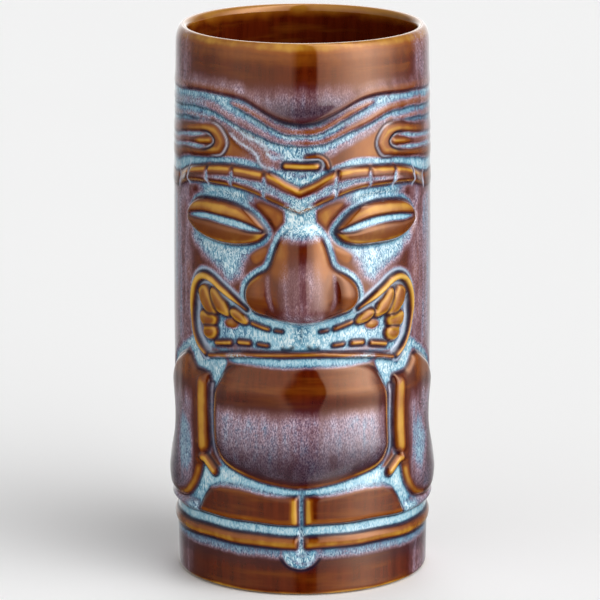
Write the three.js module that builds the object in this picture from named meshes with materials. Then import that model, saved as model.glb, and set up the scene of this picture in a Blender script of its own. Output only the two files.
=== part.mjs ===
// A tiki mug: one slip-cast stoneware cup with a face in relief, and the coats of glaze fired onto it.
// Millimetres, +Z up. The face looks towards -Y, the foot stands on z = 0, and the origin is the
// middle of the footprint of the whole cup.
import * as THREE from "three";

// ---- Driving dimensions ----

const HEIGHT = 167;
const WALL_RADIUS = 37.9; // outside of the plain wall, at the foot and at the lip
const WALL_SWELL = 0.9; // how much fuller the wall is at half height
const CAVITY_RADIUS = 34;
const CAVITY_FLOOR = 8.5;
const CAVITY_FILLET = 6;
const LIP_CREST_RADIUS = 35.8;
const LIP_OUTER_DROP = 5.6; // from the crest down to where the plain wall starts
const LIP_INNER_DROP = 2.2;
const FOOT_CORNER_WIDTH = 1.5;
const FOOT_CORNER_HEIGHT = 1.8;
const FOOT_RING_INNER_RADIUS = 31.5;
const FOOT_RECESS = 2.5;
const FOOT_RECESS_RADIUS = 30.5;
const GLAZE = 0.4; // thickness of a coat
const HAIRLINE = 0.05; // clearance between a coat and the clay, so that no two solids share a face
const GLAZE_FOOT_LINE = 0.5; // the outside coat is wiped off below this height

// Outlines of the relief are drawn on the unrolled wall: x is the distance round the cup from the
// middle of the face, measured at this radius, and the other coordinate is the height.
const UNROLL_RADIUS = 38;

// The wall is cut finely across the face, more coarsely at the sides and behind.
const FACE_HALF_WIDTH = 43.2;
const FACE_STEPS = 32;
const SIDE_HALF_WIDTH = 63.2;
const SIDE_STEPS = 5;
const BACK_STEPS = 8;

// ---- Distances on the unrolled wall ----

// How far (x, z) is from the open line through the points.
function distanceToLine(points, x, z) {
  let nearest = Infinity;
  for (let i = 1; i < points.length; i++) {
    const [ax, az] = points[i - 1];
    const [bx, bz] = points[i];
    const dx = bx - ax;
    const dz = bz - az;
    const along = ((x - ax) * dx + (z - az) * dz) / (dx * dx + dz * dz);
    const t = THREE.MathUtils.clamp(along, 0, 1);
    nearest = Math.min(nearest, Math.hypot(x - ax - t * dx, z - az - t * dz));
  }
  return nearest;
}

// How deep (x, z) lies inside the closed outline, negative outside it.
function depthInside(outline, x, z) {
  const closed = [...outline, outline[0]];
  let inside = false;
  for (let i = 1; i < closed.length; i++) {
    const [ax, az] = closed[i - 1];
    const [bx, bz] = closed[i];
    const crosses = az > z !== bz > z && x < ax + ((z - az) * (bx - ax)) / (bz - az);
    if (crosses) inside = !inside;
  }
  const distance = distanceToLine(closed, x, z);
  return inside ? distance : -distance;
}

// The height at x of a line that runs from left to right.
function heightOfLine(points, x) {
  const next = points.findIndex(([px]) => px > x);
  if (next < 0) return points.at(-1)[1];
  if (next === 0) return points[0][1];
  const [ax, az] = points[next - 1];
  const [bx, bz] = points[next];
  return THREE.MathUtils.mapLinear(x, ax, bx, az, bz);
}

// The right half of an outline that is open at the middle of the face, closed by its mirror image.
function mirrored(half) {
  const left = half.filter(([x]) => x > 0).map(([x, z]) => [-x, z]);
  return [...half, ...left.reverse()];
}

// A step of the given height over an edge of the given width, centred on depth 0.
function step(depth, height, width) {
  return height * THREE.MathUtils.smoothstep(depth, -width / 2, width / 2);
}

// A swelling that reaches its full height at the given depth inside the outline.
function dome(depth, height, reach) {
  const t = THREE.MathUtils.clamp(depth / reach, 0, 1);
  return height * (1 - (1 - t) ** 2);
}

// A rounded ridge along a line at this distance.
function ridge(distance, height, halfWidth) {
  const t = THREE.MathUtils.clamp(distance / halfWidth, 0, 1);
  return height * (1 - t * t) ** 2;
}

// ---- The carved features, on the right half of the wall ----

const NOSE = mirrored([
  [0, 113], [5.6, 110.5], [8.4, 104], [10.8, 99.3], [15.8, 96], [17.7, 90.5], [13.8, 86.4], [6, 84.2], [0, 83.2],
]);
const BROW_TOP = [[0, 124.6], [8, 128.6], [20, 130], [30, 129.4], [45, 126.2], [52, 124.6]];
const BROW_BOTTOM = [[0, 116.6], [8, 120.2], [20, 123.2], [30, 123.6], [50, 121.6]];
const EYE = [
  [10.4, 110.8], [15, 116], [24, 118.9], [35, 118.5], [42.4, 112.6], [38, 108.6], [27, 106.1], [15, 107],
];
const EYE_SLIT = [[12, 110.8], [25, 113.5], [40, 112.5]];
const MOUTH_FRAME = [
  [17.5, 87.3], [26, 92.2], [33.5, 95.2], [39.2, 90.8], [40, 81.5], [33, 71.3],
];
const MOUTH = mirrored([
  [0, 84], [15, 87], [26, 91], [33.5, 94], [38.5, 90], [38.8, 81.5], [32.5, 71], [0, 73.5],
]);
const BELLY = mirrored([
  [0, 70.6], [18, 70.3], [24.8, 66.5], [28.6, 61.5], [29.3, 46], [26.6, 39.8], [17, 35.6], [0, 33],
]);
const ARM = [
  [31, 65.5], [41.5, 71], [52, 68.5], [61, 61], [51, 50.5], [51, 46], [64, 34], [61, 26], [47, 25], [35.7, 33],
  [30.8, 43],
];
const THUMB = [[33.5, 39.2], [28.8, 35.6]];
const LEG = [[0.9, 30.9], [20, 33], [30.5, 31.2], [36.8, 21.8], [0.9, 21.8]];
const LEDGE = [[36, 25], [62, 25], [62, 20.5], [36, 20.5]];
const HAIR_RIDGE = [[0, 141.5], [10, 144.5], [18, 148.8], [50, 149.2], [120, 149.2]];
const HAIR_LOCK = [[8, 135.5], [20, 141], [31, 144], [50, 143.5], [120, 143.5]];
const CURL = [[52, 140.8], [33, 140.5], [26, 137.3], [32, 133], [52, 132]];
const JEWEL = [[0, 131.2], [6, 131.2]];
const LOWER_BAND = 16.5;

const EDGE = 2.8; // width of the slope round a raised form
const RIDGE_HALF_WIDTH = 2.8;

function ridgeAlong(line, x, z, height) {
  return ridge(distanceToLine(line, x, z), height, RIDGE_HALF_WIDTH);
}

function browRelief(x, z) {
  const depth = Math.min(heightOfLine(BROW_TOP, x) - z, z - heightOfLine(BROW_BOTTOM, x));
  return step(depth, 1.8, EDGE);
}

function noseRelief(x, z) {
  const depth = depthInside(NOSE, x, z);
  return step(depth, 1.8, EDGE) + dome(depth, 2.5, 8);
}

function eyeRelief(x, z) {
  const depth = depthInside(EYE, x, z);
  const lids = step(depth, 1.2, EDGE) + dome(depth, 0.8, 5);
  return Math.max(0, lids - ridgeAlong(EYE_SLIT, x, z, 1.5));
}

function bellyRelief(x, z) {
  const depth = depthInside(BELLY, x, z);
  return step(depth, 1.5, EDGE) + dome(depth, 0.8, 9);
}

function armRelief(x, z) {
  const depth = depthInside(ARM, x, z);
  return step(depth, 1.2, EDGE) + dome(depth, 0.6, 8);
}

function legRelief(x, z) {
  const block = Math.max(step(depthInside(LEG, x, z), 1, 1.6), step(depthInside(LEDGE, x, z), 0.7, 1.6));
  const band = ridge(Math.abs(z - LOWER_BAND), 1.1, 2.6);
  return Math.max(block, band) * THREE.MathUtils.smoothstep(x, 0.5, 2);
}

function hairRelief(x, z) {
  const locks = [HAIR_RIDGE, HAIR_LOCK, CURL].map((line) => ridgeAlong(line, x, z, 1.1));
  return Math.max(...locks, ridgeAlong(JEWEL, x, z, 1));
}

// The hollows round the eyes and behind the teeth, which raised forms fill.
function hollow(x, z) {
  const socket = ridge(Math.abs(depthInside(EYE, x, z) + 2), 0.8, 2.6);
  const mouth = step(depthInside(MOUTH, x, z), 1, EDGE);
  return Math.max(socket, mouth);
}

const RAISED_FORMS = [noseRelief, browRelief, eyeRelief, bellyRelief, armRelief, legRelief, hairRelief];

// Height of the carving over the plain wall.
function relief(arc, z) {
  const x = Math.abs(arc);
  const frame = ridgeAlong(MOUTH_FRAME, x, z, 1.5);
  const thumb = ridgeAlong(THUMB, x, z, 2.2);
  const raised = Math.max(frame, thumb, ...RAISED_FORMS.map((form) => form(x, z)));
  return raised - hollow(x, z) * Math.max(0, 1 - raised);
}

// ---- Sections of the cup ----

const CIRCUMFERENCE = 2 * Math.PI * UNROLL_RADIUS;

// Evenly spaced values from the first up to, but not including, the last.
function even(first, last, steps) {
  return Array.from({ length: steps }, (_, i) => first + (i * (last - first)) / steps);
}

// Columns of the wall, as distances round the unrolled cup.
const COLUMNS = [
  ...even(-FACE_HALF_WIDTH, FACE_HALF_WIDTH, FACE_STEPS),
  ...even(FACE_HALF_WIDTH, SIDE_HALF_WIDTH, SIDE_STEPS),
  ...even(SIDE_HALF_WIDTH, CIRCUMFERENCE - SIDE_HALF_WIDTH, BACK_STEPS),
  ...even(CIRCUMFERENCE - SIDE_HALF_WIDTH, CIRCUMFERENCE - FACE_HALF_WIDTH, SIDE_STEPS),
];

// Heights of the rings on the carved wall: the bands at the foot, the body, the face and the hair, the rim.
const WALL_HEIGHTS = [
  ...[1.1, FOOT_CORNER_HEIGHT, 11, 13.9, 15.2, 16.5, 17.8, 19.1, 21, 22.8],
  ...even(26, 70, 11),
  ...even(70, 151, 28),
  ...[151, HEIGHT - LIP_OUTER_DROP],
];

// Radius of the outside of the cup, glaze included.
function outsideRadius(arc, z) {
  const plain = WALL_RADIUS + WALL_SWELL * Math.sin((Math.PI * z) / HEIGHT);
  const fall = Math.max(0, 1 - z / FOOT_CORNER_HEIGHT);
  const corner = FOOT_CORNER_WIDTH * (1 - Math.sqrt(1 - fall * fall));
  const shortWay = arc > CIRCUMFERENCE / 2 ? arc - CIRCUMFERENCE : arc;
  return plain - corner + relief(shortWay, z);
}

// A ring of points, one for each column, from a radius that may vary with the column.
function ring(radius, z) {
  const radiusAt = typeof radius === "function" ? radius : () => radius;
  return COLUMNS.map((arc) => {
    const angle = arc / UNROLL_RADIUS;
    const r = radiusAt(arc);
    return new THREE.Vector3(r * Math.sin(angle), -r * Math.cos(angle), z);
  });
}

const LIP_ANGLES = [25, 50, 70].map(THREE.MathUtils.degToRad);
const CREST = Math.PI / 2;

// Rings up the outside, this far below the glaze's surface, from the foot line to the crest of the lip.
function outsideRings(below) {
  const wall = [GLAZE_FOOT_LINE, ...WALL_HEIGHTS].map((z) => ring((arc) => outsideRadius(arc, z) - below, z));
  const width = WALL_RADIUS + WALL_SWELL * Math.sin((Math.PI * LIP_OUTER_DROP) / HEIGHT) - LIP_CREST_RADIUS - below;
  const lip = [...LIP_ANGLES, CREST].map((t) =>
    ring(LIP_CREST_RADIUS + width * Math.cos(t), HEIGHT - LIP_OUTER_DROP + (LIP_OUTER_DROP - below) * Math.sin(t)),
  );
  return [...wall, ...lip];
}

// Rings down the inside, this far behind the glaze's surface, from the lip at crestRadius to the floor.
function insideRings(behind, crestRadius, withCrest) {
  const radius = CAVITY_RADIUS + behind;
  const angles = [...(withCrest ? [CREST] : []), ...[...LIP_ANGLES].reverse(), 0];
  const lip = angles.map((t) =>
    ring(
      crestRadius - (crestRadius - radius) * Math.cos(t),
      HEIGHT - LIP_INNER_DROP + (LIP_INNER_DROP - behind) * Math.sin(t),
    ),
  );
  const floor = CAVITY_FLOOR - behind;
  const turn = CAVITY_FLOOR + CAVITY_FILLET;
  const wall = [0.75, 0.5, 0.25].map((share) => ring(radius, turn + share * (HEIGHT - LIP_INNER_DROP - turn)));
  const bend = [0, 30, 60, 90].map(THREE.MathUtils.degToRad).map((t) =>
    ring(
      CAVITY_RADIUS - CAVITY_FILLET + (CAVITY_FILLET + behind) * Math.cos(t),
      turn - (turn - floor) * Math.sin(t),
    ),
  );
  return [...lip, ...wall, ...bend];
}

// ---- Solids ----

// A closed surface through rings of equal length. A lone point closes an end; without such points the
// last ring joins back to the first. Each quad is cut from its lower left to its upper right, whichever
// way the rings run, so that coats and clay have the same facets.
function loft(rings) {
  const positions = rings.flat().flatMap((p) => [p.x, p.y, p.z]);
  const starts = rings.map((_, i) => rings.slice(0, i).flat().length);
  const corner = (i, j) => starts[i] + (rings[i].length > 1 ? j % COLUMNS.length : 0);
  const loops = rings[0].length > 1 ? rings.length : rings.length - 1;
  const index = [];
  for (let i = 0; i < loops; i++) {
    const next = (i + 1) % rings.length;
    const rising = rings[next][0].z > rings[i][0].z;
    for (let j = 0; j < COLUMNS.length; j++) {
      const [a, b, c, d] = [corner(i, j), corner(i, j + 1), corner(next, j + 1), corner(next, j)];
      const halves = rising ? [[a, b, c], [a, c, d]] : [[a, b, d], [b, c, d]];
      index.push(...halves.filter((half) => new Set(half).size === 3).flat());
    }
  }
  const geometry = new THREE.BufferGeometry();
  geometry.setAttribute("position", new THREE.Float32BufferAttribute(positions, 3));
  geometry.setIndex(index);
  geometry.computeVertexNormals();
  return geometry;
}

function onAxis(z) {
  return [new THREE.Vector3(0, 0, z)];
}

// The fired clay: foot ring, recessed underside, carved wall, lip and cavity.
function stonewareBody() {
  const coat = GLAZE + HAIRLINE;
  return loft([
    onAxis(FOOT_RECESS),
    ring(FOOT_RECESS_RADIUS, FOOT_RECESS),
    ring(FOOT_RING_INNER_RADIUS, 0),
    ring(WALL_RADIUS - FOOT_CORNER_WIDTH - coat, 0),
    ...outsideRings(coat),
    ...insideRings(coat, LIP_CREST_RADIUS, false),
    onAxis(CAVITY_FLOOR - coat),
  ]);
}

// The reactive glaze over the carving, from the foot line up to the crest of the lip.
function outsideGlaze() {
  return loft([...outsideRings(0), ...outsideRings(GLAZE).reverse()]);
}

// The brown glaze that lines the cup, from the crest of the lip down over the floor.
function insideGlaze() {
  const crestRadius = LIP_CREST_RADIUS - HAIRLINE;
  return loft([
    onAxis(CAVITY_FLOOR - GLAZE),
    ...insideRings(GLAZE, crestRadius, true).reverse(),
    ...insideRings(0, crestRadius, true),
    onAxis(CAVITY_FLOOR),
  ]);
}

// The thin coat inside the foot ring, clear of the surface that the cup stands on.
function undersideGlaze() {
  const radius = FOOT_RECESS_RADIUS - HAIRLINE - 1;
  const top = FOOT_RECESS - HAIRLINE;
  return loft([onAxis(top - GLAZE), ring(radius, top - GLAZE), ring(radius, top), onAxis(top)]);
}

function piece(name, geometry, color, roughness) {
  const material = new THREE.MeshStandardMaterial({ color, roughness, metalness: 0 });
  const mesh = new THREE.Mesh(geometry, material);
  mesh.name = name;
  return mesh;
}

// ---- The object ----

const mug = new THREE.Group();
mug.add(piece("stoneware_body", stonewareBody(), 0xcbb79a, 0.85));
mug.add(piece("outside_glaze", outsideGlaze(), 0x6a3a1c, 0.12));
mug.add(piece("inside_glaze", insideGlaze(), 0x4a2412, 0.12));
mug.add(piece("underside_glaze", undersideGlaze(), 0x5a2f18, 0.15));

// The nose stands out further than the back of the cup, so the cup's axis is a little behind the origin.
const extent = new THREE.Box3().setFromObject(mug);
mug.position.y = -(extent.min.y + extent.max.y) / 2;

export default mug;
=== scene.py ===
"""A glazed stoneware tiki mug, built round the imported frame.

The carving is drawn on the unrolled wall in millimetres: x runs round the mug from the middle of the face,
z is the height over the base. Outlines are given for the right half and mirrored. The same distances to
the outlines give the relief and say where the glaze thins to gold, pools pale blue or draws a dark line.
"""

import math

import bpy
import numpy as np
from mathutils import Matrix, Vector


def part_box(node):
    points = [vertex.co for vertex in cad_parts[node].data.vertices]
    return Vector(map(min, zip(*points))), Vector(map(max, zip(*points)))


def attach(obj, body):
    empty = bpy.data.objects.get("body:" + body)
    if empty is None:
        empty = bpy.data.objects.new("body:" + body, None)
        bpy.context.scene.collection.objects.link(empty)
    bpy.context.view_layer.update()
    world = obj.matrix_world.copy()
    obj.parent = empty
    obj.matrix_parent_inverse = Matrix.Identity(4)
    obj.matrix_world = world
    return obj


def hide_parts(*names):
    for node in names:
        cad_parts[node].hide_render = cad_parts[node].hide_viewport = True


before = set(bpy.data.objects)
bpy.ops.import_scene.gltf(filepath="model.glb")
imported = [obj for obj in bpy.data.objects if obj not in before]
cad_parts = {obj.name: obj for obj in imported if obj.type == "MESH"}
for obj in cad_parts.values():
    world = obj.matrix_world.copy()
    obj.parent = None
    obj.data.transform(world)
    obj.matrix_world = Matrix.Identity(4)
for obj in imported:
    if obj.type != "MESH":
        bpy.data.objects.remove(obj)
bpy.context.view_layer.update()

MM = 0.001
ROOT = "root"
RIM_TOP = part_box("inside_glaze")[1].z / MM
AXIS_Y = (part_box("inside_glaze")[0].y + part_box("inside_glaze")[1].y) / 2
WALL_RADIUS = 37.9
WALL_SWELL = 0.9
UNROLL_RADIUS = 38.0
GIRTH = 2 * math.pi * UNROLL_RADIUS
LIP_DROP = 5.6
LIP_CREST_RADIUS = 35.8
LIP_INNER_DROP = 2.2
FOOT_LINE = 0.5
FOOT_CORNER_WIDTH = 1.5
FOOT_CORNER_HEIGHT = 1.8
FOOT_RING_INNER_RADIUS = 31.5
FOOT_RECESS = 2.5
CAVITY_RADIUS = 34.0
CAVITY_FLOOR = 8.5
CAVITY_FILLET = 6.0
COAT = 0.4
HAIRLINE = 0.05


# ---- Curves and distances on the unrolled wall ----

def smooth(value, low, high):
    t = np.clip((value - low) / (high - low), 0, 1)
    return t * t * (3 - 2 * t)


def fade(value, low, high):
    return 1 - smooth(value, low, high)


def band(value, low, high, edge=0.3):
    """1 between low and high, fading to 0 over the edge on both sides."""
    return smooth(value, low - edge, low + edge) * fade(value, high - edge, high + edge)


def near_zero(value, low, high):
    """1 where the value is no farther than low from zero, and 0 from high on."""
    return fade(np.abs(value), low, high)


def curve(points, steps=5, closed=False):
    """A smooth line through the points (Catmull-Rom)."""
    p = np.array(points, float)
    if closed:
        p = np.vstack([p[-1], p, p[0], p[1]])
    else:
        p = np.vstack([2 * p[0] - p[1], p, 2 * p[-1] - p[-2]])
    t = np.linspace(0, 1, steps, endpoint=False)[:, None]
    spans = []
    for a, b, c, d in zip(p[:-3], p[1:-2], p[2:-1], p[3:]):
        spans.append(0.5 * (2 * b + (c - a) * t + (2 * a - 5 * b + 4 * c - d) * t**2
                            + (3 * b - a - 3 * c + d) * t**3))
    return np.vstack(spans if closed else spans + [p[-2:-1]])


def mirrored(half):
    """The whole outline, from the half that starts and ends on the middle of the face."""
    return half + [(-x, z) for x, z in reversed(half) if x > 0]


def plain_radius(z):
    """The wall before carving: a slight swell, and a rounded corner at the foot."""
    fall = np.clip(1 - z / FOOT_CORNER_HEIGHT, 0, 1)
    corner = FOOT_CORNER_WIDTH * (1 - np.sqrt(1 - fall * fall))
    return WALL_RADIUS + WALL_SWELL * np.sin(np.pi * z / RIM_TOP) - corner


CARVED_RISE = 0.9
CARVED_FROM, CARVED_TO = 14, 150
# Past this angle from the front, in radians, an outline runs on round the wall at an even rate.
SIDE_ANGLE = 1.1
VIEW_SLOPE = 0.25
# No distance on the wall is measured farther than this.
FAR = 9.0


def as_drawn(arc, z):
    """The outlines are drawn on a plain cylinder seen from the front and a little above. The carved wall
    stands out from that cylinder, so its points fall further round it and lower than they are."""
    radius = plain_radius(z) + CARVED_RISE * band(z, CARVED_FROM, CARVED_TO, 3)
    spread = radius / UNROLL_RADIUS
    angle = np.abs(arc) / UNROLL_RADIUS
    turn = np.minimum(angle, SIDE_ANGLE)
    seen = np.arcsin(spread * np.sin(turn))
    seen += (angle - turn) * spread * np.cos(turn) / np.cos(seen)
    return np.sign(arc) * seen * UNROLL_RADIUS, z - (radius - UNROLL_RADIUS) * VIEW_SLOPE * np.cos(turn)


class Wall:
    """The carved wall as a grid. On it: the relief's height, the glaze's thickness (0 is the plain brown
    coat, 1 a deep pale pool), golden crests, dark creases, deeper shadows, pale threads, and the gap to
    the nearest raised form, which is 0 on the form itself."""

    def __init__(self, arcs, heights):
        arc, z = as_drawn(*np.meshgrid(arcs, heights))
        wobble = near_zero(arc, 50, 90)
        self.arc = arc + wobble * (0.25 * np.sin(z / 9 + 1) + 0.15 * np.sin(z / 3.7))
        self.z = z + wobble * (0.25 * np.sin(arc / 8 + 2) + 0.12 * np.sin(arc / 3.1 + z / 7))
        self.x = np.abs(self.arc)
        self.height = np.zeros(self.x.shape)
        self.thick, self.gold, self.line, self.deep, self.pale = (np.zeros(self.x.shape) for _ in range(5))
        self.gap = np.full(self.x.shape, FAR)

    def near(self, points, margin):
        low, high = points.min(0) - margin, points.max(0) + margin
        return (self.x > low[0]) & (self.x < high[0]) & (self.z > low[1]) & (self.z < high[1])

    def distance(self, points, margin=FAR):
        """Distance of every grid point from the line, and no more than the margin."""
        where = self.near(points, margin)
        x, z = self.x[where], self.z[where]
        nearest = np.full(x.shape, margin)
        for (ax, az), (bx, bz) in zip(points[:-1], points[1:]):
            dx, dz = bx - ax, bz - az
            t = np.clip(((x - ax) * dx + (z - az) * dz) / (dx * dx + dz * dz), 0, 1)
            nearest = np.minimum(nearest, np.hypot(x - ax - t * dx, z - az - t * dz))
        result = np.full(self.x.shape, margin)
        result[where] = nearest
        return result

    def depth(self, outline, margin=FAR):
        """How deep every grid point lies inside the closed outline, negative outside."""
        closed = np.vstack([outline, outline[:1]])
        where = self.near(closed, 0.5)
        x, z = self.x[where], self.z[where]
        inside = np.zeros(x.shape, bool)
        for (ax, az), (bx, bz) in zip(closed[:-1], closed[1:]):
            if az != bz:
                inside ^= ((az > z) != (bz > z)) & (x < ax + (z - az) * (bx - ax) / (bz - az))
        sign = np.full(self.x.shape, -1.0)
        sign[where] = np.where(inside, 1.0, -1.0)
        return sign * self.distance(closed, margin)

    def off(self, points):
        """Distance from the smooth line through the points."""
        return self.distance(curve(points))

    def within(self, points, margin=FAR):
        """Depth inside the smooth closed outline through the points."""
        return self.depth(curve(points, closed=True), margin)

    def oval(self, centre, radii):
        """0 at the oval's centre, and 1 on its edge."""
        return np.hypot((self.x - centre[0]) / radii[0], (self.z - centre[1]) / radii[1])

    def under(self, points):
        """How far below a smooth line that runs round the mug."""
        return np.interp(self.x, *curve(points).T) - self.z

    def pool(self, amount):
        self.thick = np.maximum(self.thick, amount)

    def thin(self, amount):
        self.gold = np.maximum(self.gold, amount)

    def crease(self, amount):
        self.line = np.maximum(self.line, amount)

    # Darker plum glaze; on the nose tip's underside and low on the belly it is painted shade.
    def darken(self, amount):
        self.deep = np.maximum(self.deep, amount)

    def thread(self, amount):
        self.pale = np.maximum(self.pale, amount)

    def bare(self, amount):
        """Clears what lies on a form, back to the plain coat."""
        for field in (self.thick, self.gold, self.line, self.deep, self.pale):
            field *= 1 - amount

    def form(self, depth, height, edge, reach=0.0, crown=0.0, where=1.0):
        """Raises a form: a rounded edge, then a slow crown over its reach. Depth is inside its outline."""
        self.height += where * height * swell(depth, edge, reach, crown)
        self.bare(where * smooth(depth, -0.2, 0.2))
        raised = where * np.ones_like(depth) > 0.5
        self.gap = np.minimum(self.gap, np.where(raised, np.maximum(-depth, 0), FAR))

    def halo(self, depth, width, tail, strength):
        """Pale glaze pooled round the foot of a raised form, fading out into the brown."""
        self.pool(strength * fade(-depth, width, width + tail))

    def outline(self, depth, strength=1.0, width=0.32):
        """A dark crease along the edge of a form."""
        self.crease(strength * near_zero(depth + 0.1, width * 0.5, width + 0.25))

    def gilded_edge(self, depth, strength, width, tail):
        self.thin(strength * smooth(depth, 0.1, 0.6) * fade(depth, width, width + tail))

    def slot(self, depth):
        """A hollow cut into a form: inside it the distance to the form's edge counts again."""
        self.gap = np.where(depth > 0, depth, self.gap)

    def settle(self):
        """In the pools the glaze is bluer close to a form, and a dark crease runs along its foot. It lies
        smooth there, and is full of flecks farther off."""
        pooled = smooth(self.thick, 0.55, 0.8) * (self.gap > 0)
        self.thick -= 0.24 * pooled * fade(self.gap, 0.1, 0.8)
        self.crease(0.85 * pooled * fade(self.gap, 0.05, 0.4))
        self.calm = (self.gap > 0) * fade(self.gap, 0.6, 2.2)


def swell(depth, edge, reach=0.0, crown=0.0):
    """The height of a form across its rounded edge, 0 to 1, and the crown that it gains over its reach."""
    t = np.clip(depth / edge, 0, 1)
    height = np.sqrt(t * (2 - t)) * 0.5 + 0.5 * (1 - (1 - t) ** 2)
    if crown:
        u = np.clip(depth / reach, 0, 1)
        height = height + crown * (1 - (1 - u) ** 2)
    return height


# ---- The carving, from the top down ----

HAIR_LINE = [(0, 143.6), (5, 144.2), (9, 145.5), (13, 147.5), (16.5, 149.4), (20, 150.4), (26, 150.8),
             (41, 150.7), (55, 150), (120, 150)]
FINGER = [(0, 142.5), (5.3, 142.9), (9, 144.4), (13.7, 147), (17.8, 148.6), (21, 149.4), (22.8, 149),
          (22.6, 148.1), (21, 147.4), (17, 145.9), (12.9, 143.9), (9.1, 142), (4.5, 140.3), (0, 140.2)]
FINGER_LOW = FINGER[:7:-1]
STRAND_TOP = [(0, 139.2), (5.3, 139), (9.1, 140.2), (14.9, 143), (21.2, 145.4), (26, 147.1), (31, 148.3),
              (37.2, 148.7), (46, 148.3), (55, 147.4), (120, 146.5)]
STRAND_LOW = [(0, 137), (5.3, 137.2), (9.1, 138), (14.9, 140.3), (21.3, 142.4), (28.4, 144.8), (34, 145.6),
              (41, 145.9), (55, 144.9), (120, 144)]
SIDE_STRAND_TOP = [(26, 143.4), (31, 143.6), (34, 144), (41, 144.3), (55, 143.3), (120, 142.3)]
SIDE_STRAND_LOW = [(26, 142.1), (33, 142.2), (37.3, 142.4), (46, 142.3), (55, 141.4), (120, 140.5)]
FLESH_TOP = [(0, 134.2), (5.3, 134.6), (9.1, 135.6), (14.9, 138.1), (21.3, 140.8), (27, 143), (33, 144)]
POOL_TOP = [(0, 127.5), (7.2, 129.6), (9.1, 130.2), (13, 131.4), (17, 132.3), (21.3, 132.3), (26, 131.8),
            (34, 131.2), (46, 129.8), (56, 128.2), (120, 127)]
CURL = [(80, 136.5), (55, 139.5), (41, 141.2), (33, 142.1), (27.4, 141.4), (24.5, 138.9), (23.5, 136.3),
        (24.3, 134), (26, 132.2), (29, 131.7), (34, 131.3), (46, 129.9), (56, 128.3), (80, 127)]
CURL_HEART = [(80, 134), (55.5, 136.2), (41, 138.1), (36, 138.7), (31, 138.6), (28.5, 136.8), (29.2, 135),
              (32.3, 133.7), (37.4, 133.1), (46, 132.8), (56, 131.7), (80, 130)]
CURL_TONGUE = [(30.4, 136.4), (36.7, 135.9), (46, 135), (56, 134), (80, 132)]
DRIP_LOW = [(22.6, 139.2), (19.5, 137.1), (16.1, 135.6), (13.7, 133.8), (12.9, 132), (11.3, 130.6),
            (8.6, 129.9)]
DRIP_HIGH = [(18.5, 140), (16.9, 138.9), (13.7, 138), (11.3, 136.6), (10.2, 134.4), (8.5, 133.2),
             (5.5, 133.6)]
JEWEL = [(0, 130.9), (4.6, 131)]
ARCH = [(1.5, 133.7), (4.8, 133.9), (7.2, 132.4), (8.1, 130.4)]


def strand(wall, inside, above_low, height, where=1.0, core=0.0):
    """A raised strand of hair: mauve, amber along its middle, with a dark crease under its lower edge."""
    wall.form(inside, height, 1.3, where=where)
    wall.pool(where * (0.48 - 0.6 * core * smooth(inside, 0.2, 1.0)) * smooth(inside, -0.2, 0.2))
    wall.thin(where * core * smooth(inside, 0.1, 0.9))
    wall.crease(where * 0.85 * near_zero(above_low + 0.2, 0.1, 0.5))


def towards_back(wall):
    """How far the hair's relief still stands out, going round the mug."""
    return 1 - 0.8 * smooth(wall.x, 34, 52)


def hair(wall):
    """The hair line, the three strands under it and the bare forehead between them and the jewel."""
    x, z = wall.x, wall.z
    flat = towards_back(wall)
    left = smooth(-wall.arc, -2, 6)
    below_line = wall.under(HAIR_LINE)
    plain_back = smooth(x + 5 * np.sin(z / 5), 66, 86) * fade(z, 138.5, 141)
    blue = (0.7 + 0.09 * left) * (1 - plain_back)
    wall.pool(blue * smooth(below_line, 0.1, 0.8) * smooth(z, 124, 130))
    wall.height += 0.8 * flat * smooth(-below_line, -0.5, 0.5) * fade(-below_line, 0.8, 4.5)
    wall.bare(0.6 * band(below_line, -1.5, 0.0, 0.7))
    wall.thin(0.3 * band(below_line, -2.6, -0.6, 0.5) * smooth(x, 14, 24))
    wall.crease(0.9 * near_zero(below_line - 0.1, 0.1, 0.55))
    wall.crease(0.8 * fade(x, 5, 10) * band(below_line, 0.0, 1.0, 0.4))
    finger = wall.within(mirrored(FINGER))
    strand(wall, finger, -wall.under(FINGER_LOW) + 9 * smooth(x, 20.5, 22), 0.8, core=0.5 - 0.2 * left)
    wall.thin(0.5 * smooth(finger, 0.2, 1.0) * band(x, 9, 23, 4))
    above_low = -wall.under(STRAND_LOW)
    inside = np.minimum(wall.under(STRAND_TOP), above_low)
    strand(wall, inside, above_low, 0.8 * flat, core=0.45 - 0.25 * left)
    wall.thin(0.4 * smooth(inside, 0.2, 1.0) * band(x, 8, 22, 4) * (1 - left))
    outer = smooth(x, 27, 31)
    above_low = -wall.under(SIDE_STRAND_LOW)
    strand(wall, np.minimum(wall.under(SIDE_STRAND_TOP), above_low), above_low, 0.6 * flat, outer, 0.42)
    wall.gap = np.where(wall.gap > 0, wall.gap + 0.45 * smooth(below_line, 0.5, 1.5), 0)
    below_top = wall.under(FLESH_TOP)
    flesh = np.minimum(below_top, -wall.under(POOL_TOP))
    flesh = smooth(flesh, -0.6, 0.8) * smooth(x, 4, 9) * fade(x, 27, 31)
    wall.bare(flesh)
    wall.gap = np.where(flesh > 0.5, 0, wall.gap)
    wall.pool(flesh * 0.4 * fade(below_top, 0.6, 4.2))
    wall.thin(flesh * (0.1 + 0.4 * smooth(x, 12, 21)) * smooth(below_top, 0.5, 3))
    wall.pool(flesh * left * 0.3 * fade(x, 16, 24))


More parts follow.
